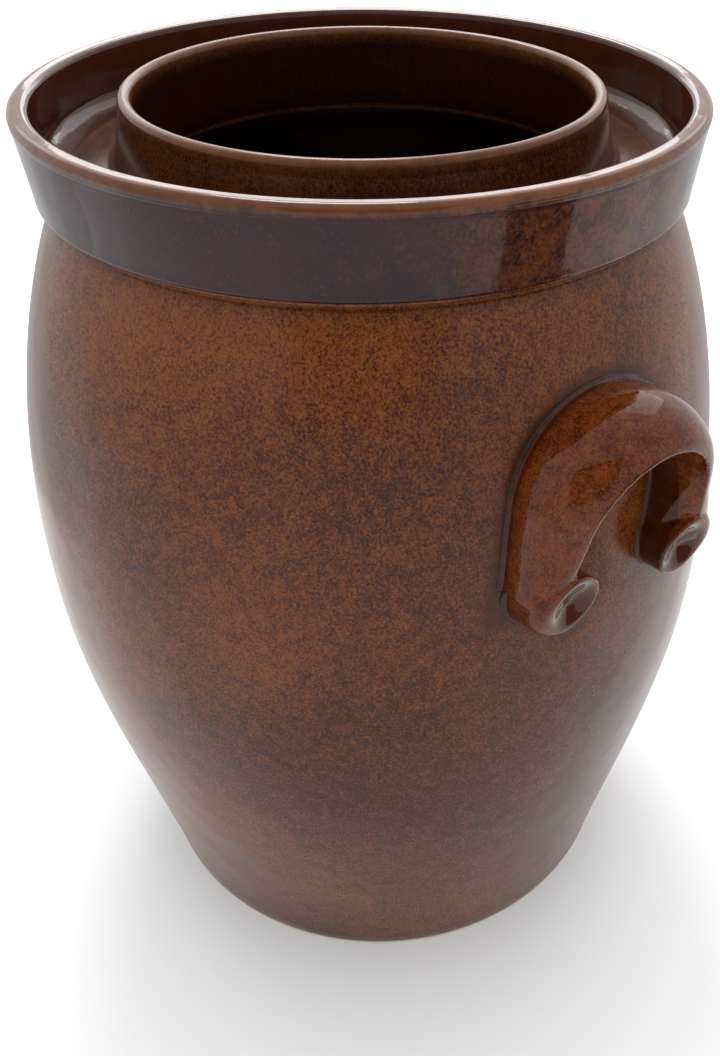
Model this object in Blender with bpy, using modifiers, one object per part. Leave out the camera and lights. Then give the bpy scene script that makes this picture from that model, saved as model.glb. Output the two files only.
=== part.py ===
"""Ceramic crock fermenter: a tall stoneware pot with a water gutter, two ear handles and two weight stones.

Units are metres and +Z is up. The origin is the centre of the foot, on the surface that the crock stands on.
The belly, shoulder and neck are one thrown body. The gutter ring is seated on the body's ledge, the two
handles are fitted to its wall at +X and -X, and the two half-moon stones lie on the floor inside.
"""
import math

import bmesh
import bpy
import numpy as np
from mathutils import Matrix, Vector

# Body: the pot's outline
BODY_HEIGHT = 0.304          # foot to the ledge that carries the gutter ring
FOOT_RADIUS = 0.1068
BELLY_RADIUS = 0.133
BELLY_HEIGHT = 0.165         # height of the widest place
SHOULDER_RADIUS = 0.1038     # at the ledge
FOOT_FLARE = 0.148           # outward slope of the wall where it leaves the foot
SHOULDER_FLARE = -0.50       # slope of the wall where it meets the ledge
WALL = 0.009
FLOOR = 0.012
FOOT_ROUND = 0.0025
FOOT_RING_WIDTH = 0.012      # flat unglazed ring that the crock stands on
FOOT_RECESS = 0.0018
FLOOR_ROUND = 0.014
LEDGE_ROUND = 0.0015         # corner between the belly and the ledge
THROAT_DROP = 0.0130         # ledge to where the inside wall turns in under the gutter
BORE_FOOT_DROP = 0.0010      # gutter floor to the lower end of the neck's bore

# Gutter: the moat between the neck and the ring, which holds the water seal
LEDGE_WIDTH = 0.0053
GUTTER_FLOOR_RISE = 0.0070   # gutter floor above the ledge
GUTTER_WIDTH = 0.0160
GUTTER_DEPTH = 0.0210
NECK_FLARE = 0.0034          # how much wider the neck is at the gutter floor than at the lip
NECK_WALL = 0.0044
NECK_FILLET = 0.0030
LIP_ROUND = 0.0018

# Gutter ring
RING_OVERHANG = 0.0054       # how far the ring's foot stands out past the shoulder
RIM_FLARE = 0.0028           # how much wider the ring is at the rim than at its foot
RIM_WIDTH = 0.0068
RING_FOOT_ROUND = 0.0016
RIM_ROUND = 0.0018
GUTTER_FILLET = 0.0065
RING_TOE = 0.0004            # flat at the foot of the fillet, where the ring meets the gutter floor

# Handles
ARCH_RADIUS = 0.0280         # from the arch's centre to the middle of the strap
ARCH_DROP = 0.0660           # arch centre below the ledge
LEG_SPLAY = math.radians(12)  # how far the legs lean outwards
STRAP_THICKNESS = 0.0126
STRAP_CROWN = 0.0026         # how far the strap's back swells above its root
STRAP_EDGE_INSET = 0.0030    # free edge, towards the arch's centre from the strap's middle
HANDLE_REACH = 0.0290        # wall to free edge at the crown
KNOB_DROP = 0.0225           # knob centre below the arch's centre
KNOB_INSET = 0.0010          # knob centre inside the arch's radius
KNOB_REACH = 0.0125          # wall to knob face
KNOB_RADIUS = 0.0120         # at its face
KNOB_ROOT_RADIUS = 0.0142    # at the wall
KNOB_ROUND = 0.0020
ROOT_DEPTH = 0.0120          # how far the handle's stock runs into the wall before it is cut to fit

# Weight stones
STONE_CLEARANCE = 0.0065     # stone disc to neck bore, all round
STONE_THICKNESS = 0.0200
STONE_SPLIT = 0.0040         # between the two straight sides
STONE_ROUND = 0.0030

SEAM = 0.0003                # gap between pieces that touch

# Resolution
TURN_STEPS = 60
BELLY_STATIONS = 15
MERGE = 0.00005

LEDGE_INNER = SHOULDER_RADIUS - LEDGE_WIDTH
RING_FOOT_RADIUS = SHOULDER_RADIUS + RING_OVERHANG
RIM_RADIUS = RING_FOOT_RADIUS + RIM_FLARE
GUTTER_FLOOR = BODY_HEIGHT + GUTTER_FLOOR_RISE
TOP = GUTTER_FLOOR + GUTTER_DEPTH
NECK_FOOT_RADIUS = LEDGE_INNER - GUTTER_WIDTH
NECK_RADIUS = NECK_FOOT_RADIUS - NECK_FLARE
BORE_RADIUS = NECK_RADIUS - NECK_WALL
ARCH_Z = BODY_HEIGHT - ARCH_DROP
KNOB_Z = ARCH_Z - KNOB_DROP
KNOB_SPACING = ARCH_RADIUS - KNOB_INSET

MATERIALS = {
    "brown_glaze": ((0.115, 0.040, 0.017), 0.12),
    "dark_glaze": ((0.060, 0.026, 0.020), 0.12),
    "bare_stoneware": ((0.42, 0.36, 0.29), 0.75),
}


def hermite(start, start_slope, end, end_slope, t):
    """Cubic from start to end, with the given slopes per unit of t."""
    return ((2 * t**3 - 3 * t**2 + 1) * start + (t**3 - 2 * t**2 + t) * start_slope
            + (3 * t**2 - 2 * t**3) * end + (t**3 - t**2) * end_slope)


def wall_radius(z):
    """Outside radius of the belly at height z."""
    if z < BELLY_HEIGHT:
        return hermite(FOOT_RADIUS, FOOT_FLARE * BELLY_HEIGHT, BELLY_RADIUS, 0.0, z / BELLY_HEIGHT)
    rise = BODY_HEIGHT - BELLY_HEIGHT
    return hermite(BELLY_RADIUS, 0.0, SHOULDER_RADIUS, SHOULDER_FLARE * rise, (z - BELLY_HEIGHT) / rise)


def inner_radius(z):
    """Inside radius of the belly at height z, a wall's thickness in from the outside, square to it."""
    step = 0.001
    slope = (wall_radius(z + step) - wall_radius(z - step)) / (2 * step)
    return wall_radius(z) - WALL * math.hypot(1.0, slope)


def arc(centre, radii, start, end, count):
    """Points on an ellipse arc, angles in degrees from +r towards +z."""
    angles = np.radians(np.linspace(start, end, count))
    return [(centre[0] + radii[0] * math.cos(a), centre[1] + radii[1] * math.sin(a)) for a in angles]


def belly_outline():
    """Outside of the belly, from under the ledge's corner down to just above the foot."""
    heights = np.linspace(BODY_HEIGHT - LEDGE_ROUND, FOOT_ROUND * 2, BELLY_STATIONS)
    return [(wall_radius(z), z) for z in heights]


def body_outline():
    """Half section of the body: inside floor, inside wall, lip, neck, gutter floor, ledge, belly and foot."""
    flat = inner_radius(FLOOR) - FLOOR_ROUND
    inside = [(0.0, FLOOR)] + arc((flat, FLOOR + FLOOR_ROUND), (FLOOR_ROUND, FLOOR_ROUND), -90, -20, 4)
    shoulder_z = BODY_HEIGHT - THROAT_DROP
    inside += [(inner_radius(z), z) for z in np.linspace(FLOOR + FLOOR_ROUND * 1.6, shoulder_z, 10)]
    turn = inner_radius(shoulder_z)
    throat = GUTTER_FLOOR - BORE_FOOT_DROP
    inside += [(BORE_RADIUS + (turn - BORE_RADIUS) * (1 - math.sin(a)),
                shoulder_z + (throat - shoulder_z) * (1 - math.cos(a)))
               for a in np.radians([22, 45, 68, 90])]
    lip = ((NECK_RADIUS + BORE_RADIUS) / 2, TOP - LIP_ROUND)
    neck = arc(lip, (NECK_WALL / 2, LIP_ROUND), 180, 0, 7)
    fillet = (NECK_FOOT_RADIUS + NECK_FILLET, GUTTER_FLOOR + NECK_FILLET)
    neck += arc(fillet, (NECK_FILLET, NECK_FILLET), 180, 270, 4)
    ledge = [(LEDGE_INNER, GUTTER_FLOOR), (LEDGE_INNER, BODY_HEIGHT), (SHOULDER_RADIUS - LEDGE_ROUND, BODY_HEIGHT)]
    foot = arc((FOOT_RADIUS - FOOT_ROUND, FOOT_ROUND), (FOOT_ROUND, FOOT_ROUND), 0, -90, 4)
    ring = FOOT_RADIUS - FOOT_RING_WIDTH
    recess = [(ring, 0.0), (ring - FOOT_RECESS, FOOT_RECESS), (0.0, FOOT_RECESS)]
    return inside + neck + ledge + belly_outline() + foot + recess


def ring_outline():
    """Section of the gutter ring, closed: rim, flared outside, foot, seat and gutter side."""
    base = BODY_HEIGHT + SEAM
    seat = LEDGE_INNER + SEAM
    rim = arc((RIM_RADIUS - RIM_ROUND, TOP - RIM_ROUND), (RIM_ROUND, RIM_ROUND), 90, 0, 4)
    foot = arc((RING_FOOT_RADIUS - RING_FOOT_ROUND, base + RING_FOOT_ROUND),
               (RING_FOOT_ROUND, RING_FOOT_ROUND), 0, -90, 4)
    fillet = (seat + RING_TOE, GUTTER_FLOOR + GUTTER_FILLET)
    side = arc(fillet, (GUTTER_FILLET, GUTTER_FILLET), -90, -20, 5)
    lip = RIM_RADIUS - RIM_WIDTH
    inner_rim = arc((lip + RIM_ROUND, TOP - RIM_ROUND), (RIM_ROUND, RIM_ROUND), 180, 110, 3)
    return rim + foot + [(seat, base), (seat, GUTTER_FLOOR)] + side + inner_rim


def wall_envelope():
    """Half section of the solid that the handles are cut with: the belly, grown by the seam and filled."""
    belly = [(r + SEAM, z) for r, z in belly_outline()]
    return [(0.0, TOP), (SHOULDER_RADIUS, TOP)] + belly + [(FOOT_RADIUS, 0.0), (0.0, 0.0)]


def new_object(name, mesh, collection):
    """Object of a mesh, linked to a collection."""
    item = bpy.data.objects.new(name, mesh)
    collection.objects.link(item)
    return item


def turned(name, outline, closed, collection):
    """Solid of revolution: an outline of (radius, height) points and a Screw modifier."""
    mesh = bpy.data.meshes.new(name)
    count = len(outline)
    edges = [(i, i + 1) for i in range(count - 1)]
    if closed:
        edges.append((count - 1, 0))
    mesh.from_pydata([(r, 0.0, z) for r, z in outline], edges, [])
    item = new_object(name, mesh, collection)
    screw = item.modifiers.new("turn", "SCREW")
    screw.steps = TURN_STEPS
    screw.render_steps = TURN_STEPS
    screw.use_merge_vertices = True
    screw.merge_threshold = MERGE
    screw.use_smooth_shade = True
    return item


def front_plane(z):
    """Distance from the crock's axis of the handle's front at height z: a plane that leans in towards the foot."""
    crown_z = ARCH_Z + ARCH_RADIUS
    crown = wall_radius(crown_z) + HANDLE_REACH
    knob = math.sqrt(wall_radius(KNOB_Z)**2 - KNOB_SPACING**2) + KNOB_REACH
    return knob + (crown - knob) * (z - KNOB_Z) / (crown_z - KNOB_Z)


def strap_path():
    """Middle of the strap as (y, z, outward y, outward z): a splayed leg, an arc over the top, a leg."""
    out = (math.cos(LEG_SPLAY), math.sin(LEG_SPLAY))
    start = (ARCH_RADIUS * out[0], ARCH_Z + ARCH_RADIUS * out[1])
    length = (start[1] - KNOB_Z) / out[0]
    leg = [(start[0] + s * out[1], start[1] - s * out[0], *out) for s in np.linspace(length, 0, 5)[:-1]]
    over = [(ARCH_RADIUS * math.cos(a), ARCH_Z + ARCH_RADIUS * math.sin(a), math.cos(a), math.sin(a))
            for a in np.linspace(LEG_SPLAY, math.pi - LEG_SPLAY, 23)]
    return leg + over + [(-y, z, -out_y, out_z) for y, z, out_y, out_z in reversed(leg)]


def strap_section():
    """Strap's section as (depth from 0 at the root to 1 at the free edge, distance out from the middle)."""
    half = STRAP_THICKNESS / 2
    back = [0.0, 0.3, 0.5, 0.65, 0.78, 0.88, 0.95, 0.99]
    edge = -STRAP_EDGE_INSET
    swell = [(a, edge + (half - edge + STRAP_CROWN * math.sin(math.pi * a)) * (1 - a**4) ** 0.6) for a in back]
    under = [(a, -half + (half + edge) * a**3) for a in (0.985, 0.9, 0.7, 0.4, 0.0)]
    return swell + under


def handle_strap(name, collection):
    """Strap of the handle at +X: the section carried along the arch."""
    section = strap_section()
    root = wall_radius(ARCH_Z + ARCH_RADIUS) - ROOT_DEPTH
    vertices = []
    for y, z, out_y, out_z in strap_path():
        for depth, out in section:
            height = z + out_z * out
            front = front_plane(height)
            vertices.append((root + (front - root) * depth, y + out_y * out, height))
    size = len(section)
    rows = len(vertices) // size
    faces = [(i * size + j, i * size + (j + 1) % size, (i + 1) * size + (j + 1) % size, (i + 1) * size + j)
             for i in range(rows - 1) for j in range(size)]
    faces.append(tuple(reversed(range(size))))
    faces.append(tuple(range((rows - 1) * size, rows * size)))
    mesh = bpy.data.meshes.new(name)
    mesh.from_pydata(vertices, [], faces)
    mesh.update()
    shaped = bmesh.new()
    shaped.from_mesh(mesh)
    bmesh.ops.recalc_face_normals(shaped, faces=shaped.faces)
    shaped.to_mesh(mesh)
    shaped.free()
    return new_object(name, mesh, collection)


def handle_knob(name, side, collection):
    """Rolled end of a handle's leg: a tapered boss with a rounded rim, square to the front plane."""
    centre = Vector((front_plane(KNOB_Z), side * KNOB_SPACING, KNOB_Z))
    lean = math.atan2(front_plane(ARCH_Z) - front_plane(KNOB_Z), ARCH_Z - KNOB_Z)
    length = KNOB_REACH + ROOT_DEPTH
    taper = (KNOB_ROOT_RADIUS - KNOB_RADIUS) / KNOB_REACH
    shaped = bmesh.new()
    bmesh.ops.create_cone(shaped, cap_ends=True, segments=24, depth=length,
                          radius1=KNOB_RADIUS + taper * length, radius2=KNOB_RADIUS)
    shaped.transform(Matrix.Translation((0.0, 0.0, -length / 2)))
    mesh = bpy.data.meshes.new(name)
    shaped.to_mesh(mesh)
    shaped.free()
    item = new_object(name, mesh, collection)
    item.matrix_world = Matrix.Translation(centre) @ Matrix.Rotation(math.pi / 2 + lean, 4, "Y")
    bevel = item.modifiers.new("rim", "BEVEL")
    bevel.width = KNOB_ROUND
    bevel.segments = 3
    bevel.limit_method = "ANGLE"
    return item


def add_boolean(item, operation, other):
    """Exact Boolean of one object with another."""
    modifier = item.modifiers.new(operation.lower(), "BOOLEAN")
    modifier.operation = operation
    modifier.solver = "EXACT"
    modifier.object = other


def handle(name, turn, wall, parts, cutters):
    """One handle: strap and two knobs joined, then cut to the curve of the wall less the seam."""
    strap = handle_strap(name, parts)
    for side in (-1, 1):
        knob = handle_knob(f"{name}_knob_{side}", side, cutters)
        knob.parent = strap
        add_boolean(strap, "UNION", knob)
    add_boolean(strap, "DIFFERENCE", wall)
    strap.rotation_euler[2] = turn
    return strap


def stone(name, side, collection):
    """Half-moon weight stone: a disc that passes the neck, split across the middle, with rounded edges."""
    radius = BORE_RADIUS - STONE_CLEARANCE
    start = math.asin(STONE_SPLIT / 2 / radius)
    angles = np.linspace(start, math.pi - start, 23)
    outline = [(radius * math.cos(a), side * radius * math.sin(a)) for a in angles]
    shaped = bmesh.new()
    base = shaped.faces.new([shaped.verts.new((x, y, FLOOR + SEAM)) for x, y in outline])
    grown = bmesh.ops.extrude_face_region(shaped, geom=[base])
    lifted = [v for v in grown["geom"] if isinstance(v, bmesh.types.BMVert)]
    bmesh.ops.translate(shaped, verts=lifted, vec=(0.0, 0.0, STONE_THICKNESS))
    bmesh.ops.recalc_face_normals(shaped, faces=shaped.faces)
    mesh = bpy.data.meshes.new(name)
    shaped.to_mesh(mesh)
    shaped.free()
    item = new_object(name, mesh, collection)
    bevel = item.modifiers.new("edges", "BEVEL")
    bevel.width = STONE_ROUND
    bevel.segments = 2
    bevel.limit_method = "ANGLE"
    return item


def make_materials():
    """Principled material for each finish."""
    made = {}
    for name, (colour, roughness) in MATERIALS.items():
        material = bpy.data.materials.new(name)
        material.use_nodes = True
        shader = material.node_tree.nodes["Principled BSDF"]
        shader.inputs["Base Color"].default_value = (*colour, 1.0)
        shader.inputs["Roughness"].default_value = roughness
        shader.inputs["Metallic"].default_value = 0.0
        made[name] = material
    return made


def build():
    """Make every piece of the crock."""
    for item in list(bpy.data.objects):
        bpy.data.objects.remove(item, do_unlink=True)
    parts = bpy.data.collections.new("crock_fermenter")
    cutters = bpy.data.collections.new("cutters")
    bpy.context.scene.collection.children.link(parts)
    bpy.context.scene.collection.children.link(cutters)

    wall = turned("wall_envelope", wall_envelope(), False, cutters)
    pieces = {
        "crock_body": (turned("crock_body", body_outline(), False, parts), "brown_glaze"),
        "gutter_ring": (turned("gutter_ring", ring_outline(), True, parts), "dark_glaze"),
        "handle_right": (handle("handle_right", 0.0, wall, parts, cutters), "brown_glaze"),
        "handle_left": (handle("handle_left", math.pi, wall, parts, cutters), "brown_glaze"),
        "weight_stone_front": (stone("weight_stone_front", -1, parts), "bare_stoneware"),
        "weight_stone_back": (stone("weight_stone_back", 1, parts), "bare_stoneware"),
    }
    materials = make_materials()
    for item, finish in pieces.values():
        item.data.materials.append(materials[finish])
    for item in cutters.objects:
        item.hide_render = True
        item.display_type = "WIRE"


build()
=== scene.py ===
# %% [markdown]
# # A glazed stoneware crock for fermenting vegetables
#
# The crock is thrown on the wheel in one tall, round-bellied piece. Round its neck stands a collar, which makes a
# moat for the water that seals the lid. Two ear handles are pulled, bent and pressed onto the shoulder, and two
# half-moon stones lie inside to hold the vegetables down. All of it but the stones is covered in a glossy iron
# glaze, brown with a fine orange speckle, darker on the collar and amber where it runs thin over an edge.
#
# The crock's measured frame is loaded first. It gives the sizes and the bodies that move. Every surface below is
# laid over that frame, in metres, with +Z up and the foot standing at height zero.

import math

import bmesh
import bpy
import numpy as np
from mathutils import Matrix, Vector


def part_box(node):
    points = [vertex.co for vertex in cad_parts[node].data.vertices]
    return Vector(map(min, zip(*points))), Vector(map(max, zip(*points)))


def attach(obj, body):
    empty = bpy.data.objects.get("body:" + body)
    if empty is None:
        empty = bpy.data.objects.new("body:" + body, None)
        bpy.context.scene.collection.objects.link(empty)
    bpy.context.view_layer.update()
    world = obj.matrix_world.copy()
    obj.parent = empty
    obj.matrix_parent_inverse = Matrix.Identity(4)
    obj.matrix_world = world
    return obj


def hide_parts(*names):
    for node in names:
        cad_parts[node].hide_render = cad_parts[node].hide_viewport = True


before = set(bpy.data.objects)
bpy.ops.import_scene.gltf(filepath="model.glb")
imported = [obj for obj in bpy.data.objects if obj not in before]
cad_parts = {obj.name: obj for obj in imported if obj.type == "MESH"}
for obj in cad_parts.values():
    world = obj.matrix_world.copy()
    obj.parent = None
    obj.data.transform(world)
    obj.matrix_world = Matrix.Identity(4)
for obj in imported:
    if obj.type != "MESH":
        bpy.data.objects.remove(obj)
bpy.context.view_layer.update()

# %% Sizes of the crock
_, pot_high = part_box("crock_body")
_, ring_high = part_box("gutter_ring")
stone_low, stone_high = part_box("weight_stone_back")

belly_radius = pot_high.x
belly_height = 0.165         # where the belly is widest
foot_radius = 0.1068
foot_flare = 0.148           # outward slope of the wall where it leaves the foot
shoulder_radius = 0.1038
shoulder_flare = -0.50       # slope of the wall where it meets the collar
shoulder_height = 0.304      # where the collar is luted on
wall = 0.009
floor_thickness = 0.012
foot_ring_width = 0.012      # flat unglazed ring that the crock stands on
foot_recess = 0.0018

gutter_floor = 0.311
neck_radius = 0.0791         # outside of the neck at its lip
neck_foot_radius = 0.0825    # outside of the neck at the moat's floor
bore_radius = 0.0747
rim_radius = ring_high.x
rim_width = 0.0068
top = ring_high.z
print(f"belly {2000 * belly_radius:.0f} mm across, rim {2000 * rim_radius:.0f} mm, {1000 * top:.0f} mm tall")

# %% [markdown]
# ## Where we stand to look at it
#
# The crock is looked at from close by and from above. One handle is turned to the right, a little over halfway from
# facing us to standing in profile. A camera could be aimed with a Track To constraint, but here its three axes are
# worked out directly: a heading, a tilt down, and a slight roll. The lens shift moves the crock in the frame
# without turning the camera, as a view camera's rising front does, so the crock keeps the perspective of its real
# distance.

# %% Camera
def add_item(name, data):
    """New object in the scene, at the origin, that holds a mesh, a light or a camera."""
    item = bpy.data.objects.new(name, data)
    bpy.context.scene.collection.objects.link(item)
    return item


handle_turn = math.radians(55.7)     # from the camera's own side round to the handle's axis
heading = math.radians(3.83)
tilt = math.radians(39.39)
roll = math.radians(0.693)

forward = Vector((math.sin(heading) * math.cos(tilt), math.cos(heading) * math.cos(tilt), -math.sin(tilt)))
right = Vector((math.cos(heading), -math.sin(heading), 0.0))
up = right.cross(forward)
level_right = right * math.cos(roll) + up * math.sin(roll)
level_up = up * math.cos(roll) - right * math.sin(roll)

camera_data = bpy.data.cameras.new("camera")
camera_data.sensor_fit = "VERTICAL"
camera_data.sensor_height = 36.0
camera_data.lens = 36.55
camera_data.shift_x = -0.0713
camera_data.shift_y = 0.0515
camera_data.clip_start = 0.01
camera = add_item("camera", camera_data)
turn = Matrix.Rotation(handle_turn, 4, "Z")
axes = Matrix((level_right, level_up, -forward)).transposed().to_4x4()
camera.matrix_world = turn @ Matrix.Translation((0.0, -0.3743, 0.4277)) @ axes
bpy.context.scene.camera = camera
print("camera at", [round(x, 3) for x in camera.matrix_world.translation])

# %% [markdown]
# ## The studio
#
# A glossy glaze is mostly a mirror of the room, so the room is what makes it look like glaze. Here the room is a
# white sweep: a pale floor that runs out into a white surround. The surround is a little dimmer on the side where
# the viewer stands, as it is in any studio, so that the front of the pot stays deep brown while its two flanks
# pick up the white.
#
# One broad window hangs behind and above, with a low strip for the far rim and a small bright lamp for the sparkle.
# A wide light overhead brightens the floor and stays out of the reflections. Three cards do the opposite, and are
# seen in reflections only: a grey one behind keeps the two outlines from washing out against the white, a narrow
# dark one at the side puts a dark bar on the collar, and a dark one round the camera stands for the viewer, whose
# dim shape every glossy pot shows somewhere.

# %% Floor and surround
def direction_from(azimuth, elevation):
    """Unit vector towards an azimuth, counted from the camera's side of the crock, and an elevation, in degrees."""
    a, e = math.radians(azimuth) + handle_turn, math.radians(elevation)
    return Vector((math.sin(a) * math.cos(e), -math.cos(a) * math.cos(e), math.sin(e)))


def one_face(name, corners):
    """Mesh of a single four-sided face."""
    mesh = bpy.data.meshes.new(name)
    mesh.from_pydata(corners, [], [(0, 1, 2, 3)])
    return mesh


reach = 6.0                  # half of the floor's side
floor_mesh = one_face("floor", [(-reach, -reach, 0), (reach, -reach, 0), (reach, reach, 0), (-reach, reach, 0)])
studio_floor = add_item("floor", floor_mesh)

world = bpy.data.worlds.new("white_room")
world.use_nodes = True
bpy.context.scene.world = world
bpy.context.scene.view_settings.view_transform = "Standard"
print(f"floor {2 * reach:.0f} m across under a white surround")


# %% Lights
crock_middle = Vector((0.0, 0.0, 0.17))


def softbox(name, azimuth, elevation, distance, width, height, power):
    """A rectangular area light that stands off the crock's middle and faces it, unseen by the camera."""
    data = bpy.data.lights.new(name, "AREA")
    data.shape = "RECTANGLE"
    data.size = width
    data.size_y = height
    data.energy = power
    lamp = add_item(name, data)
    away = direction_from(azimuth, elevation) * distance
    facing = away.to_track_quat("Z", "Y").to_matrix().to_4x4()
    lamp.matrix_world = Matrix.Translation(crock_middle + away) @ facing
    lamp.visible_camera = False
    return lamp


softbox("back_window", 180, 46, 1.6, 2.4, 1.3, 11.5)
softbox("rim_strip", 180, 21, 1.8, 1.1, 0.24, 2.2)
softbox("lamp", 186, 49, 1.5, 0.42, 0.42, 6.5)
ceiling = softbox("ceiling", 0, 89, 1.9, 2.6, 2.6, 17.0)
ceiling.visible_glossy = False


# %% Cards
def reflection_only(item):
    """Leave an object out of everything but reflections."""
    item.visible_camera = False
    item.visible_diffuse = False
    item.visible_shadow = False


def bent_card(name, azimuth, width, height, distance):
    """A card that stands on the floor and bends round the crock. Its azimuth and width are in degrees."""
    steps = 24
    lift = 0.002
    across = np.radians(np.linspace(azimuth - width / 2, azimuth + width / 2, steps + 1)) + handle_turn
    foot = np.stack([distance * np.sin(across), -distance * np.cos(across), lift + 0 * across], axis=-1)
    rows = np.vstack([foot, foot + np.array([0.0, 0.0, height])])
    faces = [(i, i + 1, i + steps + 2, i + steps + 1) for i in range(steps)]
    mesh = bpy.data.meshes.new(name)
    mesh.from_pydata(rows.tolist(), [], faces)
    item = add_item(name, mesh)
    reflection_only(item)
    return item


flank_card = bent_card("flank_card", 180, 170, 0.32, 0.42)
side_card = bent_card("side_card", 51, 24, 0.20, 0.45)
viewer = add_item("viewer", one_face("viewer", [(-0.17, -0.17, 0.02), (0.17, -0.17, 0.02), (0.17, 0.12, 0.02),
                                                (-0.17, 0.12, 0.02)]))
viewer.matrix_world = camera.matrix_world
reflection_only(viewer)
print("cards:", [item.name for item in (flank_card, side_card, viewer)])

# %% [markdown]
# ## Surfaces from two numbers
#
# Each piece is a grid: one number runs along its profile and the other runs round it, and a formula gives the
# point for every pair. Numpy works out all the points at once. This could be done with a Screw or a Curve bevel,
# but a formula lets the wall wander slightly, as a thrown wall does, and lets every point carry its own values
# for the glaze to read.

# %% Grid to mesh
def grid_mesh(name, points, closed_rows=False, closed_columns=False, caps=()):
    """Mesh of an array of points, rows by columns by xyz, with four-sided faces between neighbours.

    closed_rows joins the last row to the first, closed_columns the last column to the first. caps lists the end
    rows, 0 or -1, that are drawn together to one point in their middle.
    """
    rows, columns = points.shape[:2]
    index = np.arange(rows * columns).reshape(rows, columns)
    if closed_rows:
        index = np.vstack([index, index[:1]])
    if closed_columns:
        index = np.hstack([index, index[:, :1]])
    quads = np.stack([index[:-1, :-1], index[:-1, 1:], index[1:, 1:], index[1:, :-1]], axis=-1).reshape(-1, 4)
    flat = points.reshape(-1, 3)
    faces = quads.tolist()
    for end in caps:
        flat = np.vstack([flat, points[end].mean(axis=0)])
        ring = index[end]
        pole = np.full(len(ring) - 1, len(flat) - 1)
        pairs = (ring[1:], ring[:-1]) if end == 0 else (ring[:-1], ring[1:])
        faces += np.stack([pole, *pairs], axis=-1).tolist()
    mesh = bpy.data.meshes.new(name)
    mesh.from_pydata(flat.tolist(), [], faces)
    mesh.update()
    shape = bmesh.new()
    shape.from_mesh(mesh)
    bmesh.ops.remove_doubles(shape, verts=shape.verts, dist=1e-6)
    bmesh.ops.recalc_face_normals(shape, faces=shape.faces)
    shape.to_mesh(mesh)
    shape.free()
    mesh.shade_smooth()
    return mesh


def read_points(mesh, value="co"):
    """All of a mesh's points, or with value "normal" their normals, as rows of xyz."""
    flat = np.empty(len(mesh.vertices) * 3)
    mesh.vertices.foreach_get(value, flat)
    return flat.reshape(-1, 3)


def mark_points(mesh, name, values):
    """Give a mesh one number per point, for its finish to read."""
    layer = mesh.attributes.new(name, "FLOAT", "POINT")
    layer.data.foreach_set("value", np.asarray(values, np.float32))


def add_object(name, mesh, body, stands_for):
    """Object at the origin that rides on a body and hides the plain nodes it stands for."""
    item = add_item(name, mesh)
    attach(item, body)
    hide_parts(*stands_for)
    print(f"{name}: {len(mesh.vertices)} points, {sum(len(p.vertices) - 2 for p in mesh.polygons)} triangles")
    return item


def arc(centre, radii, start, end, count):
    """Points on an ellipse arc, from one angle to another in degrees, counted from +r towards +z."""
    angles = np.radians(np.linspace(start, end, count))
    return np.column_stack([centre[0] + radii[0] * np.cos(angles), centre[1] + radii[1] * np.sin(angles)])


def line(start, end, count):
    """Evenly spaced points on a straight line, without its last one."""
    return np.linspace(start, end, count, endpoint=False)


# %% [markdown]
# ## The pot's outline
#
# A thrown belly is one continuous sweep: the clay goes out from the foot, is widest at half the crock's height,
# and comes in to the shoulder. Two cubic curves that meet upright at the widest place give that sweep, and the
# inside follows it one wall's thickness in.

# %% Belly curve
def hermite(start, start_slope, end, end_slope, t):
    """Cubic from start to end, with the given slopes per unit of t."""
    return ((2 * t**3 - 3 * t**2 + 1) * start + (t**3 - 2 * t**2 + t) * start_slope
            + (3 * t**2 - 2 * t**3) * end + (t**3 - t**2) * end_slope)


def wall_radius(z):
    """Outside radius of the belly at height z: one cubic up to the widest place and another to the shoulder."""
    z = np.asarray(z, float)
    rise = shoulder_height - belly_height
    below = hermite(foot_radius, foot_flare * belly_height, belly_radius, 0.0, z / belly_height)
    above = hermite(belly_radius, 0.0, shoulder_radius, shoulder_flare * rise, (z - belly_height) / rise)
    return np.where(z < belly_height, below, above)


def inner_radius(z):
    """Inside radius of the belly: the outside less the wall, measured square to the surface."""
    step = 0.001
    slope = (wall_radius(z + step) - wall_radius(z - step)) / (2 * step)
    return wall_radius(z) - wall * np.hypot(1.0, slope)


print("belly radius at each quarter of its height:", np.round(wall_radius(np.linspace(0, shoulder_height, 5)), 4))


# %% Pot profile
pole_radius = 0.004          # the profile stops this far from the axis, and a cap of triangles closes it


def inside_outline():
    """Middle of the inside floor, its round corner, the wall, the turn in under the moat, and the neck's bore."""
    floor_round = 0.014
    flat = float(inner_radius(floor_thickness)) - floor_round
    throat_z = shoulder_height - 0.013
    throat_r = float(inner_radius(throat_z))
    foot_of_bore = gutter_floor - 0.001
    angles = np.radians(np.linspace(4, 90, 22))
    heights = np.linspace(floor_thickness + floor_round * 1.6, throat_z, 60)
    return np.vstack([
        line((pole_radius, floor_thickness), (flat, floor_thickness), 16),
        arc((flat, floor_thickness + floor_round), (floor_round, floor_round), -90, -20, 10),
        np.column_stack([inner_radius(heights), heights]),
        np.column_stack([bore_radius + (throat_r - bore_radius) * (1 - np.sin(angles)),
                         throat_z + (foot_of_bore - throat_z) * (1 - np.cos(angles))]),
        line((bore_radius, foot_of_bore + 0.002), (bore_radius, top - 0.004), 8),
    ])


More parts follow.
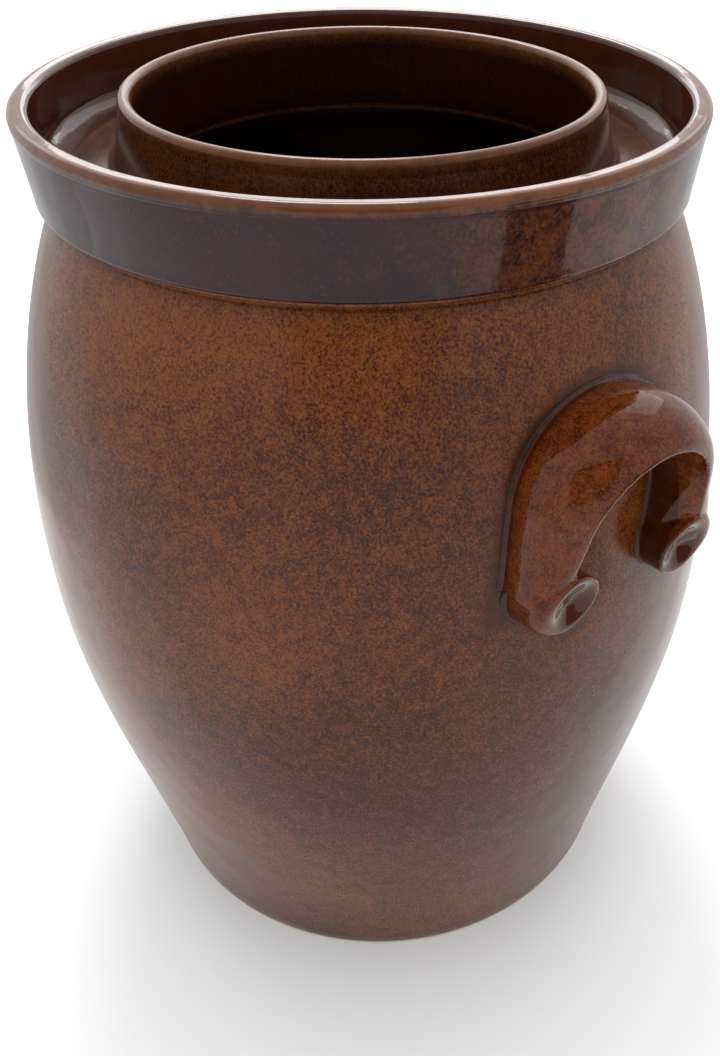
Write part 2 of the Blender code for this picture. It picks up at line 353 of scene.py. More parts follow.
def moat_outline():
    """Lip, outside of the neck, floor of the moat, the step that the collar sits on, and its luting bead."""
    half = (neck_radius - bore_radius) / 2
    lip_round = 0.0022
    fillet = 0.003
    step_radius, corner = 0.0985, 0.0005
    bead = 0.0013
    bead_radius = shoulder_radius - 0.0002
    return np.vstack([
        arc((bore_radius + half, top - lip_round), (half, lip_round), 180, 0, 19),
        line((neck_radius, top - 0.004), (neck_foot_radius, gutter_floor + fillet), 10),
        arc((neck_foot_radius + fillet, gutter_floor + fillet), (fillet, fillet), 180, 270, 9),
        line((0.0862, gutter_floor), (step_radius - corner, gutter_floor), 8),
        arc((step_radius - corner, gutter_floor - corner), (corner, corner), 90, 0, 4),
        line((step_radius, shoulder_height + 0.004), (step_radius, shoulder_height), 3),
        line((step_radius, shoulder_height), (bead_radius, shoulder_height), 5),
        arc((bead_radius, shoulder_height - bead), (bead, bead), 90, -50, 11),
    ])


def belly_outline():
    """Outside of the belly from under the bead, the round of the foot, the ring it stands on and the recess."""
    heights = np.linspace(shoulder_height - 0.0027, 0.0045, 96)
    foot_round = 0.0025
    return np.vstack([
        np.column_stack([wall_radius(heights), heights]),
        arc((foot_radius - foot_round, foot_round), (foot_round, foot_round), 0, -90, 8),
        line((foot_radius - 0.004, 0.0), (foot_radius - foot_ring_width, 0.0), 4),
        arc((foot_radius - foot_ring_width, foot_recess), (foot_recess, foot_recess), -90, -180, 5),
        line((foot_radius - 0.015, foot_recess), (pole_radius, foot_recess), 12),
    ])


def turned(profile, steps, wander=0.0):
    """Points of a profile carried round the axis. wander is how far the wall drifts in and out, in metres.

    The drift is a sum of three slow waves in angle and height, so it never repeats round the pot. It fades out
    at the foot and at the shoulder, where the pot has to fit the floor and the collar.
    """
    fade = 0.03
    angles = np.linspace(0.0, 2 * np.pi, steps, endpoint=False)[None, :]
    r = profile[:, 0][:, None]
    z = profile[:, 1][:, None]
    drift = (np.sin(2 * angles + 17 * z) + 0.6 * np.sin(3 * angles - 31 * z + 1.3)
             + 0.35 * np.sin(5 * angles + 83 * z + 0.4)) / 1.95
    r = r + wander * drift * np.clip(z / fade, 0.0, 1.0) * np.clip((shoulder_height - z) / fade, 0.0, 1.0)
    return np.stack([r * np.cos(angles), r * np.sin(angles), z + 0 * angles], axis=-1)


pot_profile = np.vstack([inside_outline(), moat_outline(), belly_outline()])
pot_mesh = grid_mesh("glazed_pot", turned(pot_profile, 300, wander=0.00025), closed_columns=True, caps=(0, -1))
pot = add_object("glazed_pot", pot_mesh, "crock", ["crock_body"])

# %% [markdown]
# ## The collar
#
# The collar is a thrown ring that flares slightly and is luted onto the shoulder, so it stands out past the belly
# and leaves a dark line under it. Its rim is a soft roll with a crease below, where the potter's rib stopped. Its
# inner side runs into the moat's floor in one round curve. The ring is a closed section carried round the axis.

# %% Collar
def collar_profile():
    """Closed section of the collar, from the top of its rim down the outside, in under it and up the moat side."""
    foot_r, foot_z = 0.1092, shoulder_height + 0.0003
    foot_round = 0.0018
    rim_round = 0.0022
    inner_rim = rim_radius - rim_width
    toe = 0.0950             # where the moat's round curve meets its floor
    return np.vstack([
        line((inner_rim + rim_round, top - 0.0001), (rim_radius - 0.0024, top), 5),
        arc((rim_radius - rim_round, top - rim_round), (rim_round, rim_round), 90, -28, 15),
        arc((rim_radius + 0.00005, top - 0.0043), (0.0005, 0.0007), 120, 190, 5),
        line((rim_radius - 0.0006, top - 0.0052), (foot_r + 0.0001, foot_z + 0.0034), 22),
        arc((foot_r - foot_round, foot_z + foot_round), (foot_round, foot_round), 6, -90, 9),
        line((foot_r - 0.0024, foot_z), (0.0995, foot_z), 6),
        line((0.0993, foot_z + 0.001), (0.0992, gutter_floor - 0.0008), 4),
        line((toe + 0.0012, gutter_floor - 0.0008), (toe, gutter_floor - 0.0003), 2),
        arc((toe, gutter_floor + 0.0066), (inner_rim + 0.0003 - toe, 0.0067), -90, -6, 22),
        line((inner_rim + 0.0002, gutter_floor + 0.0072), (inner_rim, top - 0.0030), 10),
        arc((inner_rim + rim_round, top - 0.0023), (rim_round, rim_round), 180, 96, 9),
    ])


collar_mesh = grid_mesh("glazed_collar", turned(collar_profile(), 480), closed_rows=True, closed_columns=True)
collar = add_object("glazed_collar", collar_mesh, "crock", ["gutter_ring"])

# %% [markdown]
# ## The ear handles
#
# Each handle is a thick strap bent into an arch and pressed onto the wall. Its outer side swells, its free edge is
# pinched thin, and each end is rolled inward into a round pad that the potter's thumb has dished. The strap is a
# section carried along the arch. Each pad is a short drum, parallel to the handle's leaning front. They are joined
# in one skin by remeshing at half a millimetre, because wet clay has no seams, and the skin is then drawn out at
# the wall in a small round fillet where the glaze pools.

# %% Handle frame
handle_low, handle_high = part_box("handle_right")
arch_z = 0.238
arch_radius = 0.028          # from the arch's centre to the middle of the strap
splay = math.radians(12)     # how far the legs lean outwards
strap_thickness = 0.0126
strap_crown = 0.0026         # how far the strap's back swells
edge_inset = 0.0030
root_depth = 0.004           # how deep the strap is sunk in the wall
crown_reach = 0.0290         # wall to free edge at the top of the arch
pad_reach = 0.0125           # wall to the pad's face
pad_z = arch_z - 0.0225
pad_spacing = 0.0270
pad_radius = 0.0123
fillet = 0.0014


def wall_distance(y, z):
    """Distance of the wall from the middle plane at a place y to the side and z up, so x on the wall's surface."""
    return np.sqrt(wall_radius(z)**2 - np.asarray(y)**2)


def front_plane(z):
    """Reach of the handle's front at height z: a plane that leans in towards the foot."""
    crown_z = arch_z + arch_radius
    crown = float(wall_radius(crown_z)) + crown_reach
    pad = math.sqrt(float(wall_radius(pad_z))**2 - pad_spacing**2) + pad_reach
    return pad + (crown - pad) * (z - pad_z) / (crown_z - pad_z)


handle_size = (handle_high - handle_low) * 1000
print(f"handle {handle_size.y:.0f} mm wide, {handle_size.z:.0f} mm high")


# %% Strap
def ease(x):
    """Smooth step from 0 to 1 as x goes from 0 to 1."""
    x = np.clip(x, 0.0, 1.0)
    return x * x * (3 - 2 * x)


def strap_path():
    """Middle of the strap, a splayed leg, an arc over the top and a leg down: rows of y, z and the way outwards."""
    out_y, out_z = math.cos(splay), math.sin(splay)
    leg_length = (arch_z + arch_radius * out_z - pad_z - 0.0015) / out_y
    down = np.linspace(leg_length, 0.0, 30)[:-1]
    right_leg = np.column_stack([arch_radius * out_y + down * out_z, arch_z + arch_radius * out_z - down * out_y,
                                 np.full_like(down, out_y), np.full_like(down, out_z)])
    a = np.linspace(splay, math.pi - splay, 90)
    over = np.column_stack([arch_radius * np.cos(a), arch_z + arch_radius * np.sin(a), np.cos(a), np.sin(a)])
    left_leg = right_leg[::-1] * np.array([-1.0, 1.0, -1.0, 1.0])
    return np.vstack([right_leg, over, left_leg])


def strap_grid():
    """Strap as path stations by section points.

    Along the section, depth runs from 0 in the wall to 1 at the free edge. The outer side swells by a sine and
    falls to the edge as a flattened circle does. The under side rises to the edge with the cube of the depth.
    Towards each end both sides fill out, so that they run level into the rolled pad.
    """
    path = strap_path()
    above_pad = path[:, 1] - pad_z
    back_fill = ease(1.0 - above_pad / 0.024)[:, None]
    under_fill = 0.0115 * ease(1.0 - above_pad / 0.030)[:, None]

    half = strap_thickness / 2
    t = 1 - (1 - np.linspace(0.0, 1.0, 34))**1.7
    fall = (1 - t**(4 + 4 * back_fill))**(0.6 - 0.1 * back_fill)
    swell = strap_crown * np.sin(np.pi * t) * (1 - 0.6 * back_fill)
    back = -edge_inset + (half + edge_inset + swell) * fall
    s = np.linspace(1.0, 0.0, 26)[1:]
    under = -half + (half - edge_inset) * s**3 - under_fill * (1 - s**5)
    depth = np.concatenate([t, s])
    offset = np.hstack([back, under])

    y = path[:, 0][:, None] + path[:, 2][:, None] * offset
    z = path[:, 1][:, None] + path[:, 3][:, None] * offset
    root = wall_distance(y, z) - root_depth
    x = root + (front_plane(z) - root) * depth[None, :]
    return np.stack([x, y, z], axis=-1)


print("strap, stations by points:", strap_grid().shape[:2])


# %% Rolled pad at the end of a leg
def pad_grid(side):
    """Rolled end as a slanted drum: rings parallel to the handle's front plane, drifting down towards the wall.

    Its outer side lies flush with the strap's back, so the leg runs straight down and round it like a scroll. The
    rounding of its front edge is wide on the outer side and crisp on the inner. The thumb's dish is a cosine bowl
    pressed into the face, off the middle, towards the inside of the arch.
    """
    lean = math.atan2(float(front_plane(arch_z) - front_plane(pad_z)), arch_z - pad_z)
    length = 0.0170
    drift = 0.10             # fall of the drum's axis per unit of its length
    dish_offset, dish_radius, dish_depth = 0.0024, 0.0094, 0.0019
    dish_row = 36            # the dish takes in the last rings of the rounded edge and all of the face
    steps = 96
    angles = np.linspace(0.0, 2 * np.pi, steps, endpoint=False)[None, :]
    rim = 0.0010 + 0.0036 * ease((np.cos(angles) + 0.25) / 1.1)
    turn_in = np.radians(np.linspace(0, 90, 12))[:, None]
    inwards = np.linspace(1.0, 0.03, 40)[1:, None]
    face = pad_radius - rim
    back_rings, side_rings = np.linspace(0.1, 1.0, 8)[:-1, None], np.linspace(0, 1, 20)[:, None]
    r = np.vstack([back_rings * pad_radius + 0 * angles, pad_radius + 0 * side_rings * angles,
                   face + rim * np.cos(turn_in), face * inwards])
    along = np.vstack([np.full((len(back_rings), steps), -length), -length + (length - rim) * side_rings,
                       -rim + rim * np.sin(turn_in), 0 * inwards * angles])
    u, v = r * np.cos(angles), r * np.sin(angles)
    away = np.clip(np.hypot(u + dish_offset, 0.9 * v) / dish_radius, 0.0, 1.0)
    dish = (np.arange(len(r)) >= dish_row)[:, None] * dish_depth * (1 + np.cos(np.pi * away))**0.75
    x = front_plane(pad_z) + 0.0009 + along - dish + v * math.sin(lean)
    z = pad_z + drift * along + v * math.cos(lean)
    return np.stack([x, side * (pad_spacing - 0.0004 + u), z], axis=-1)


print("pad, rings by points:", pad_grid(1).shape[:2])


# %% Join, smooth and draw out at the wall
def one_skin(name, parts):
    """Mesh of several closed grids remeshed together, then smoothed a little as with a wet sponge."""
    joined = bmesh.new()
    for part in parts:
        mesh = grid_mesh(name, part, closed_columns=True, caps=(0, -1))
        joined.from_mesh(mesh)
        bpy.data.meshes.remove(mesh)
    mesh = bpy.data.meshes.new(name)
    joined.to_mesh(mesh)
    joined.free()
    item = add_item(name, mesh)
    skin = item.modifiers.new("one_skin", "REMESH")
    skin.mode = "VOXEL"
    skin.voxel_size = 0.00048
    sponge = item.modifiers.new("sponge", "SMOOTH")
    sponge.factor = 0.5
    sponge.iterations = 2
    shaped = bpy.data.meshes.new_from_object(item.evaluated_get(bpy.context.evaluated_depsgraph_get()))
    bpy.data.objects.remove(item)
    bpy.data.meshes.remove(mesh)
    return shaped


def flared(points, normals):
    """Points drawn out sideways, along their normals, by a quarter circle close to the wall."""
    x, y, z = points.T
    gap = x - wall_distance(y, z)
    near = np.clip(gap, 0.0, fillet)
    flare = fillet - np.sqrt(fillet**2 - (fillet - near)**2)
    sideways = normals * np.array([0.0, 1.0, 1.0])
    sideways /= np.maximum(np.linalg.norm(sideways, axis=1, keepdims=True), 1e-6)
    return points + sideways * (flare * (gap < fillet))[:, None]


def pool_and_shade_depth(points):
    """On a handle: 1 in the corner at the wall, where the glaze lies thick, and half under the arch and in the
    dishes, where painted shade goes.
    """
    x, y, z = points.T
    gap = x - wall_distance(y, z)
    side, rise = np.abs(y), z - arch_z
    down_leg = side * math.sin(splay) > rise * math.cos(splay)
    across_leg = side * math.cos(splay) + rise * math.sin(splay)
    inwards = arch_radius - np.where(down_leg, across_leg, np.hypot(side, rise))
    inner_side = np.clip((inwards - 0.0035) / 0.0030, 0.0, 1.0) * (gap < 0.0115)
    # A little smaller than the dish itself, and deeper in, so that the painted shade lies in its low side.
    from_dish = np.hypot(side - pad_spacing + 0.0028, 0.9 * (z - pad_z)) / 0.0088
    dish = np.clip(1.25 - from_dish, 0.0, 0.5) * 2 * (gap > 0.0080)
    corner = np.clip(1.0 - np.maximum(gap, 0.0) / 0.004, 0.0, 1.0)
    return np.maximum(corner, 0.5 * np.maximum(inner_side, dish))


def clay_handle(name, turn_angle):
    """One handle in a single skin, turned round the crock's axis.

    It carries two numbers per point for the glaze: one that is 1 in the corner at the wall, where the glaze lies
    thick, and half where painted shade goes, and "pressed", which is 1 all over the handle and missing on the pot, so
    that one finish can tell the two apart.
    """
    shaped = one_skin(name, [strap_grid(), pad_grid(-1), pad_grid(1)])
    points = read_points(shaped)
    pool_and_shade = pool_and_shade_depth(points)
    points = flared(points, read_points(shaped, "normal"))
    c, s = math.cos(turn_angle), math.sin(turn_angle)
    points = points @ np.array([[c, s, 0.0], [-s, c, 0.0], [0.0, 0.0, 1.0]])
    shaped.vertices.foreach_set("co", points.ravel())
    mark_points(shaped, "pool_and_shade", pool_and_shade)
    mark_points(shaped, "pressed", np.ones(len(points)))
    shaped.name = name
    shaped.update()
    shaped.shade_smooth()
    return shaped


handles = []
for node, turn_angle in (("handle_right", 0.0), ("handle_left", math.pi)):
    mesh = clay_handle(f"ear_{node}", turn_angle)
    handles.append(add_object(f"ear_{node}", mesh, "crock", [node]))

# %% [markdown]
# ## The weight stones
#
# Two half discs of bare stoneware, small enough to pass the neck. Each is a flat slab whose outline shrinks by a
# quarter circle towards its top and bottom faces, which softens every edge. The rings of that outline, stacked
# from the middle of the bottom to the middle of the top, make the whole stone.

# %% Stones
def stone_grid(side):
    """Half-moon slab: its outline shrunk towards the middle by a quarter circle near the top and bottom faces."""
    radius = stone_high.x
    split = 0.002            # half of the gap between the two straight sides
    low, high = stone_low.z, stone_high.z
    soft = 0.0035
    start = math.asin(split / radius)
    curve = np.linspace(start, math.pi - start, 90)
    rim = np.column_stack([radius * np.cos(curve), radius * np.sin(curve)])
    across = np.linspace(-1, 1, 60)[1:-1] * radius * math.cos(start)
    outline = np.vstack([rim, np.column_stack([across, np.full(len(across), split)])])

    middle = np.array([0.0, radius * 0.42])
    turn_in = np.radians(np.linspace(0, 90, 9))
    upright = np.linspace(low + soft, high - soft, 10)[1:-1]
    shrink = np.concatenate([soft * (1 - np.sin(turn_in)), 0 * upright, soft * (1 - np.cos(turn_in))])
    heights = np.concatenate([low + soft * (1 - np.cos(turn_in)), upright, high - soft * (1 - np.sin(turn_in))])
    away = outline - middle
    span = np.linalg.norm(away, axis=1, keepdims=True)
    rings = [middle + away * (1 - s / span) for s in shrink]
    inner = np.linspace(1.0, 0.04, 14)[1:]
    bottom = [middle + (rings[0] - middle) * k for k in inner[::-1]]
    roof = [middle + (rings[-1] - middle) * k for k in inner]

    flat_points = np.array(bottom + rings + roof)
    levels = np.concatenate([np.full(len(inner), low), heights, np.full(len(inner), high)])
    level_points = np.broadcast_to(levels[:, None, None], (*flat_points.shape[:2], 1))
    return np.concatenate([flat_points, level_points], axis=2) * np.array([1.0, side, 1.0])


stone_pieces = []
for body, node, side in (("stone_front", "weight_stone_front", -1), ("stone_back", "weight_stone_back", 1)):
    mesh = grid_mesh(node, stone_grid(side), closed_columns=True, caps=(0, -1))
    stone_pieces.append(add_object(f"{node}_clay", mesh, body, [node]))

# %% [markdown]
# ## Writing a finish as arithmetic
#
# A node material is a sum written with boxes and wires. Written out in full it is hard to read, so a small class
# wraps a socket and turns +, -, * and ** into Math nodes. Any other node comes from one method that sets the
# node's choices first and its sockets after.

# %% Shader arithmetic
class Amount:
    """A number that varies over a surface. Each operator adds one Math node."""

    def __init__(self, finish, socket):
        self.finish = finish
        self.socket = socket

    def math(self, operation, first, second=None):
        """Amount that a Math node makes of one or two numbers or Amounts."""
        values = {0: first} if second is None else {0: first, 1: second}
        return Amount(self.finish, self.finish.node("ShaderNodeMath", {"operation": operation}, values))

    def __add__(self, other):
        return self.math("ADD", self, other)

    def __radd__(self, other):
        return self.math("ADD", self, other)

    def __sub__(self, other):
        return self.math("SUBTRACT", self, other)

    def __rsub__(self, other):
        return self.math("SUBTRACT", other, self)

    def __mul__(self, other):
        return self.math("MULTIPLY", self, other)

    def __rmul__(self, other):
        return self.math("MULTIPLY", self, other)

    def __pow__(self, other):
        return self.math("POWER", self, other)

    def __abs__(self):
        return self.math("ABSOLUTE", self)

    def larger(self, other):
        return self.math("MAXIMUM", self, other)

    def ramp(self, low, high):
        """0 below low, 1 above high, and a smooth rise between them. high may be below low."""
        ends = {"Value": self, "From Min": min(low, high), "From Max": max(low, high)}
        if high < low:
            ends["To Min"], ends["To Max"] = 1.0, 0.0
        return Amount(self.finish, self.finish.node("ShaderNodeMapRange", {"interpolation_type": "SMOOTHSTEP"}, ends))


class Finish:
    """A material under construction, with its Principled shader and the coordinates its patterns are read at."""

    def __init__(self, name):
        self.material = bpy.data.materials.new(name)
        self.material.use_nodes = True
        self.tree = self.material.node_tree
        self.shader = self.tree.nodes["Principled BSDF"]
        self.place = self.node("ShaderNodeTexCoord", {}, {}, "Object")

    def feed(self, socket, value):
        """Link an Amount or another socket into a socket, or set it. A colour is three numbers."""
        if isinstance(value, Amount):
            value = value.socket
        if isinstance(value, bpy.types.NodeSocket):
            self.tree.links.new(value, socket)
        else:
            socket.default_value = (*value, 1.0) if isinstance(value, tuple) else value

    def node(self, kind, settings, values, output=0):
        """Add a node: its settings first, then its sockets' values or links. Returns one of its outputs."""
        made = self.tree.nodes.new(kind)
        for key, value in settings.items():
            setattr(made, key, value)
        for key, value in values.items():
            self.feed(made.inputs[key], value)
        return made.outputs[output]

    def noise(self, scale, detail=2.0, roughness=0.5):
        """Soft noise between about 0.2 and 0.8, with this many waves to the metre."""
        values = {"Vector": self.place, "Scale": scale, "Detail": detail, "Roughness": roughness}
        return Amount(self, self.node("ShaderNodeTexNoise", {}, values, "Fac"))

    def cells(self, scale):
        """Distance to the nearest of many scattered points, in cells, with this many cells to the metre."""
        values = {"Vector": self.place, "Scale": scale}
        return Amount(self, self.node("ShaderNodeTexVoronoi", {}, values, "Distance"))

    def axes(self):
        """The x, y and z of a place, and its distance from the crock's axis."""
        split = self.tree.nodes.new("ShaderNodeSeparateXYZ")
        self.tree.links.new(self.place, split.inputs[0])
        x, y, z = (Amount(self, split.outputs[i]) for i in range(3))
        return x, y, z, (x * x + y * y)**0.5

    def attribute(self, name):
        """A value that the mesh carries at its points, 0 where it carries none."""
        return Amount(self, self.node("ShaderNodeAttribute", {"attribute_name": name}, {}, "Fac"))

    def blend(self, share, first, second):
        """First colour where share is 0, second where it is 1."""
        factor_socket, first_socket, second_socket, result = 0, 6, 7, 2
        values = {factor_socket: share, first_socket: first, second_socket: second}
        return self.node("ShaderNodeMix", {"data_type": "RGBA", "clamp_factor": True}, values, result)

    def bump(self, height, distance, before=None):
        """Normal that leans with a height map, whose full range stands for this many metres."""
        values = {"Height": height, "Distance": distance, "Strength": 1.0}
        if before is not None:
            values["Normal"] = before
        return self.node("ShaderNodeBump", {}, values)

    def wear(self, **sockets):
        """Link or set the shader's own sockets, named with underscores for spaces."""
        for key, value in sockets.items():
            self.feed(self.shader.inputs[key.replace("_", " ")], value)


# %% Finishes of the studio
floor_finish = Finish("pale_floor")
floor_finish.wear(Base_Color=(0.86, 0.86, 0.86), Roughness=0.9, Specular_IOR_Level=0.1)
floor_mesh.materials.append(floor_finish.material)

grey_card = Finish("grey_card")
across, along, _, _ = grey_card.axes()
behind = direction_from(180, 0)
depth = across * behind.x + along * behind.y
card_colour = grey_card.blend(depth.ramp(0.05, 0.34), (0.92, 0.92, 0.92), (0.80, 0.80, 0.81))
grey_card.wear(Base_Color=card_colour, Roughness=1.0, Specular_IOR_Level=0.0)
flank_card.data.materials.append(grey_card.material)

dark_card = Finish("dark_card")
dark_card.wear(Base_Color=(0.14, 0.14, 0.14), Roughness=1.0, Specular_IOR_Level=0.0)
for item in (viewer, side_card):
    item.data.materials.append(dark_card.material)

# The surround's strength falls off smoothly towards the viewer's side.
room = world.node_tree
gaze = room.nodes.new("ShaderNodeTexCoord")
towards_viewer = room.nodes.new("ShaderNodeVectorMath")
towards_viewer.operation = "DOT_PRODUCT"
room.links.new(gaze.outputs["Generated"], towards_viewer.inputs[0])
towards_viewer.inputs[1].default_value = direction_from(0, 12)
shade = room.nodes.new("ShaderNodeMapRange")
shade.interpolation_type = "SMOOTHSTEP"
room.links.new(towards_viewer.outputs["Value"], shade.inputs["Value"])
for socket, value in (("From Min", -0.5), ("From Max", 0.8), ("To Min", 1.12), ("To Max", 0.85)):
    shade.inputs[socket].default_value = value
background = room.nodes["Background"]
room.links.new(shade.outputs[0], background.inputs["Strength"])
background.inputs["Color"].default_value = (0.97, 0.985, 1.0, 1.0)
print("studio finishes:", [finish.material.name for finish in (floor_finish, grey_card, dark_card)])

# %% [markdown]
# ## The glaze
#
# Iron glaze breaks: where it lies thick it is nearly black with a purple bloom, where it thins it turns orange and
# amber, and all over the belly it does both at once in specks the size of a grain of salt. So the colour is two
# browns mixed by fine noise, with wide slow patches that lean the mixture one way or the other. Over that come the
# places where the pot's shape decides: the thin lip, painted shade in the moat and inside, and round the handles
# glaze pooled at the wall with painted shade and a painted reflection of the handle beside it.
# The handles are as glossy as glass and the belly is a little softer. A faint roll in the surface bends the
# reflections the way poured glaze does.

# %% Glaze colours
red_brown = (0.031, 0.0070, 0.0042)
orange_brown = (0.188, 0.051, 0.0070)
strap_red = (0.040, 0.0060, 0.0016)
strap_orange = (0.155, 0.033, 0.0045)
amber = (0.36, 0.105, 0.014)
lip_amber = (0.150, 0.050, 0.014)
# Colour of the painted shade and painted reflection beside and under the handles.
ember = (0.034, 0.0068, 0.0018)
violet = (0.030, 0.016, 0.042)
# Colour of the painted shade inside the pot and in the moat.
shade_black = (0.010, 0.0016, 0.0010)
seam_grey = (0.012, 0.018, 0.020)
bare_clay = (0.42, 0.33, 0.25)

purple_black = (0.008, 0.0020, 0.0034)
iron_brown = (0.028, 0.0062, 0.0034)
speck_orange = (0.13, 0.030, 0.005)
thin_orange = (0.17, 0.042, 0.006)
moat_brown = (0.066, 0.016, 0.0035)
rim_amber = (0.150, 0.050, 0.016)
crease_red = (0.030, 0.003, 0.001)


def glaze_bump(finish):
    """Faint roll of a poured glaze over a thrown wall: slow waves, then an orange-peel ripple."""
    roll_waves = finish.bump(finish.noise(45.0, 1.0), 0.0006)
    return finish.bump(finish.noise(420.0, 1.0), 0.00003, roll_waves)


def bloom_grains(finish):
    """Fine grains where the glaze has a purple bloom."""
    return finish.noise(980.0, 2.0, 0.7).ramp(0.50, 0.68)


# %% Brown glaze
def handle_shade_zone(y, z):
    """Zone on the wall round a handle's root where painted shade goes, 1 close to the strap's sides and 0 from 7.5 mm
    away.
    """
    side, rise = abs(y), z - arch_z
    down_leg = (side * math.sin(splay) - rise * math.cos(splay)).ramp(-0.0005, 0.0005)
    leg_gap = abs(side * math.cos(splay) + rise * math.sin(splay) - arch_radius)
    arch_gap = abs((side * side + rise * rise)**0.5 - arch_radius)
    strap_gap = leg_gap * down_leg + arch_gap * (1.0 - down_leg) - strap_thickness / 2
    return strap_gap.ramp(0.0075, 0.0015) * z.ramp(pad_z - 0.016, pad_z - 0.008)


def brown_glaze():
    """Glaze of the pot and the handles: specked brown outside, painted shade inside and in the moat, amber on the
    lip, bare under the foot.
    """
    finish = Finish("brown_glaze")
    _, y, z, r = finish.axes()
    inside = finish.attribute("inside")
    pressed = finish.attribute("pressed")
    pool_and_shade = finish.attribute("pool_and_shade")
    patches = finish.noise(11.0, 2.0, 0.5)
    mottle = finish.noise(230.0, 3.0, 0.6)
    grain = finish.noise(1200.0, 2.0, 0.65)
    dust = finish.noise(3400.0, 1.0, 0.5)

    lean = grain * 0.62 + dust * 0.24 + mottle * 0.26 + patches * 0.34 + (z - 0.17) * 0.12
    colour = finish.blend(lean.ramp(0.60, 0.91), red_brown, orange_brown)
    bloom = bloom_grains(finish) * (0.15 + finish.noise(38.0, 2.0, 0.5).ramp(0.35, 0.65))
    colour = finish.blend(bloom * 0.42, colour, violet)
    strap = finish.blend((lean * 0.9 + mottle * 0.2).ramp(0.60, 0.94), strap_red, strap_orange)
    colour = finish.blend(pressed * 0.85, colour, strap)
    sparks = finish.cells(900.0).ramp(0.26, 0.08) * patches.ramp(0.40, 0.62)
    colour = finish.blend(sparks * 0.5, colour, amber)

    # Painted shade: the inside of the pot is darkened nearly to black.
    colour = finish.blend(inside * 0.93, colour, shade_black)
    # Painted shade: the moat's floor and the outside of the neck are darkened halfway to black.
    moat = z.ramp(shoulder_height + 0.002, shoulder_height + 0.006) * (1 - inside)
    colour = finish.blend(moat * 0.55, colour, shade_black)
    lip = z.ramp(top - 0.0045, top - 0.0005) * r.ramp(0.086, 0.083)
    colour = finish.blend(lip * (0.10 + 0.9 * mottle), colour, lip_amber)

    # Painted shade and a painted reflection of the handle: the wall beside each handle, the handle's inner side and
    # its dishes are darkened to ember, as is the corner at the wall, where the glaze also really pools.
    pooled_and_shaded = (handle_shade_zone(y, z) * (1.0 - pressed)).larger(pool_and_shade.ramp(0.02, 0.55))
    colour = finish.blend(pooled_and_shaded * (1.0 - 0.45 * mottle), colour, ember)
    colour = finish.blend(pool_and_shade.ramp(0.93, 1.0) * 0.85, colour, seam_grey)
    bare = (z + 0.0006 * (mottle - 0.5)).ramp(0.0026, 0.0019)
    colour = finish.blend(bare, colour, bare_clay)

    roughness = bare * 0.50 + 0.23 - 0.17 * pressed + 0.22 * pool_and_shade.ramp(0.7, 0.95) + 0.05 * (mottle - 0.5)
    finish.wear(Base_Color=colour, Roughness=roughness, IOR=1.36, Specular_Tint=(1.0, 0.92, 0.93),
                Normal=glaze_bump(finish))
    return finish.material


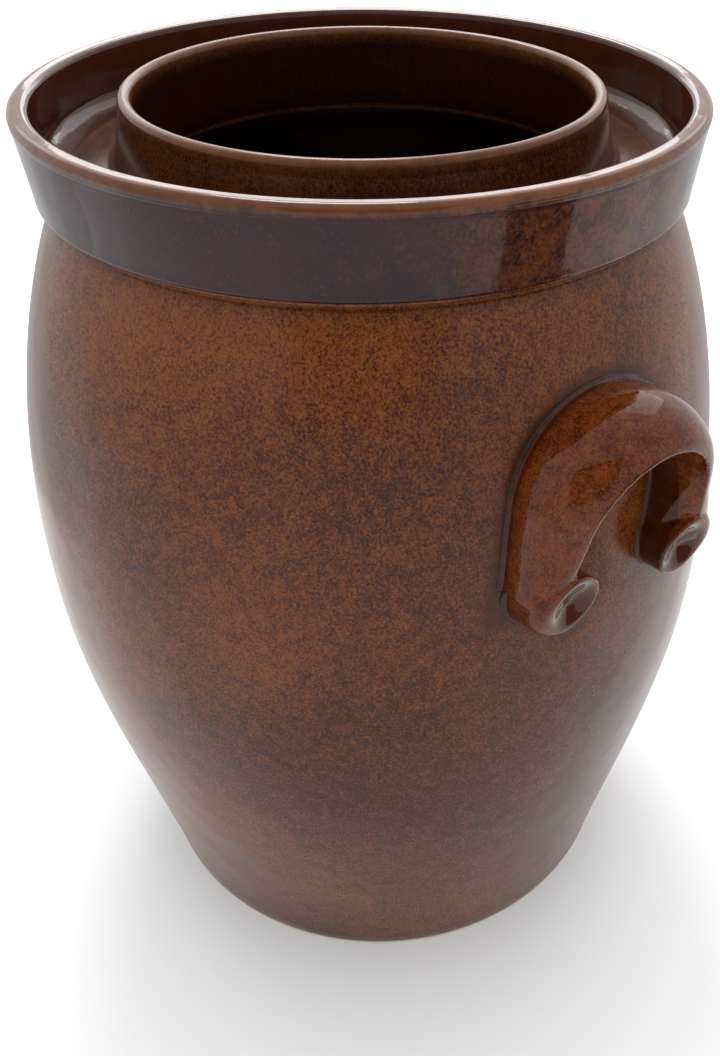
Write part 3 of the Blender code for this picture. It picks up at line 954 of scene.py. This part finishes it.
# %% Dark glaze
def dark_glaze():
    """Glaze of the collar: purple-black with sparse orange, breaking to amber along the rim, ember in the crease."""
    finish = Finish("dark_glaze")
    x, _, z, r = finish.axes()
    patches = finish.noise(17.0, 2.0, 0.5)
    mottle = finish.noise(170.0, 3.0, 0.6)
    grain = finish.noise(900.0, 2.0, 0.65)

    # The glaze ran thin over the collar on the side of the first handle.
    thin = x.ramp(0.094, 0.110) * 0.5
    body = finish.blend(patches.ramp(0.35, 0.7).larger(thin), purple_black, iron_brown)
    specks = (grain * 0.7 + mottle * 0.45).ramp(0.62, 0.78)
    colour = finish.blend(specks * 0.35, body, speck_orange)
    bloom = bloom_grains(finish) * (1.0 - thin)
    colour = finish.blend(bloom * 0.35, colour, violet)
    moat_side = r.ramp(rim_radius - 0.0056, rim_radius - rim_width)
    colour = finish.blend(moat_side * (0.2 + 0.9 * mottle), colour, moat_brown)
    colour = finish.blend(thin * (grain + mottle).ramp(0.75, 1.20), colour, thin_orange)

    ragged = z + 0.0022 * (mottle - 0.5) + 0.0012 * (grain - 0.5)
    rim = ragged.ramp(top - 0.0040, top - 0.0014) * r.ramp(rim_radius - 0.0066, rim_radius - 0.0040)
    colour = finish.blend(rim * (0.25 + 0.8 * mottle), colour, rim_amber)
    crease_heights = ragged.ramp(top - 0.0056, top - 0.0046) * ragged.ramp(top - 0.0032, top - 0.0040)
    crease = crease_heights * r.ramp(rim_radius - 0.003, rim_radius - 0.0012)
    colour = finish.blend(crease * 0.9, colour, crease_red)

    finish.wear(Base_Color=colour, Roughness=0.09 + 0.05 * (mottle - 0.5), IOR=1.38,
                Specular_Tint=(1.0, 0.95, 1.02), Normal=glaze_bump(finish))
    return finish.material


# %% Bare stoneware
def bare_stoneware():
    """Unglazed clay of the stones: sandy, dry and slightly pitted."""
    dull_clay, pale_clay = (0.44, 0.35, 0.26), (0.53, 0.45, 0.36)
    sand_brown, pit_brown = (0.24, 0.17, 0.12), (0.14, 0.09, 0.06)
    finish = Finish("bare_stoneware")
    tone = finish.noise(60.0, 3.0, 0.6)
    sand = finish.noise(1400.0, 2.0, 0.7)
    pits = finish.cells(420.0).ramp(0.16, 0.04)
    colour = finish.blend(tone.ramp(0.3, 0.7), dull_clay, pale_clay)
    colour = finish.blend(sand.ramp(0.55, 0.75) * 0.5, colour, sand_brown)
    colour = finish.blend(pits * 0.7, colour, pit_brown)
    normal = finish.bump(sand * 0.6 - pits * 0.8, 0.00025)
    finish.wear(Base_Color=colour, Roughness=0.82 + 0.1 * (sand - 0.5), Normal=normal)
    return finish.material


# %% Put the finishes on
pot_x, pot_y, pot_z = read_points(pot.data).T
pot_r = np.hypot(pot_x, pot_y)
in_the_wall = wall_radius(pot_z) - 0.004
in_the_neck = (pot_z < shoulder_height - 0.001) | (pot_r < bore_radius + 0.0012)
inside_pot = (pot_z > 0.005) & (pot_r < np.maximum(in_the_wall, 0)) & in_the_neck
below_lip = np.clip((top - 0.001 - pot_z) / 0.005, 0.0, 1.0)
# Painted shade: these numbers mark the inside of the pot below the lip, which the glaze darkens nearly to black.
mark_points(pot.data, "inside", inside_pot * below_lip)

brown = brown_glaze()
for item in (pot, *handles):
    item.data.materials.clear()
    item.data.materials.append(brown)
collar.data.materials.append(dark_glaze())
clay = bare_stoneware()
for item in stone_pieces:
    item.data.materials.append(clay)
print("finishes:", [item.name + " " + item.data.materials[0].name for item in (pot, collar, *handles, *stone_pieces)])

# %% Finish
bpy.context.view_layer.update()
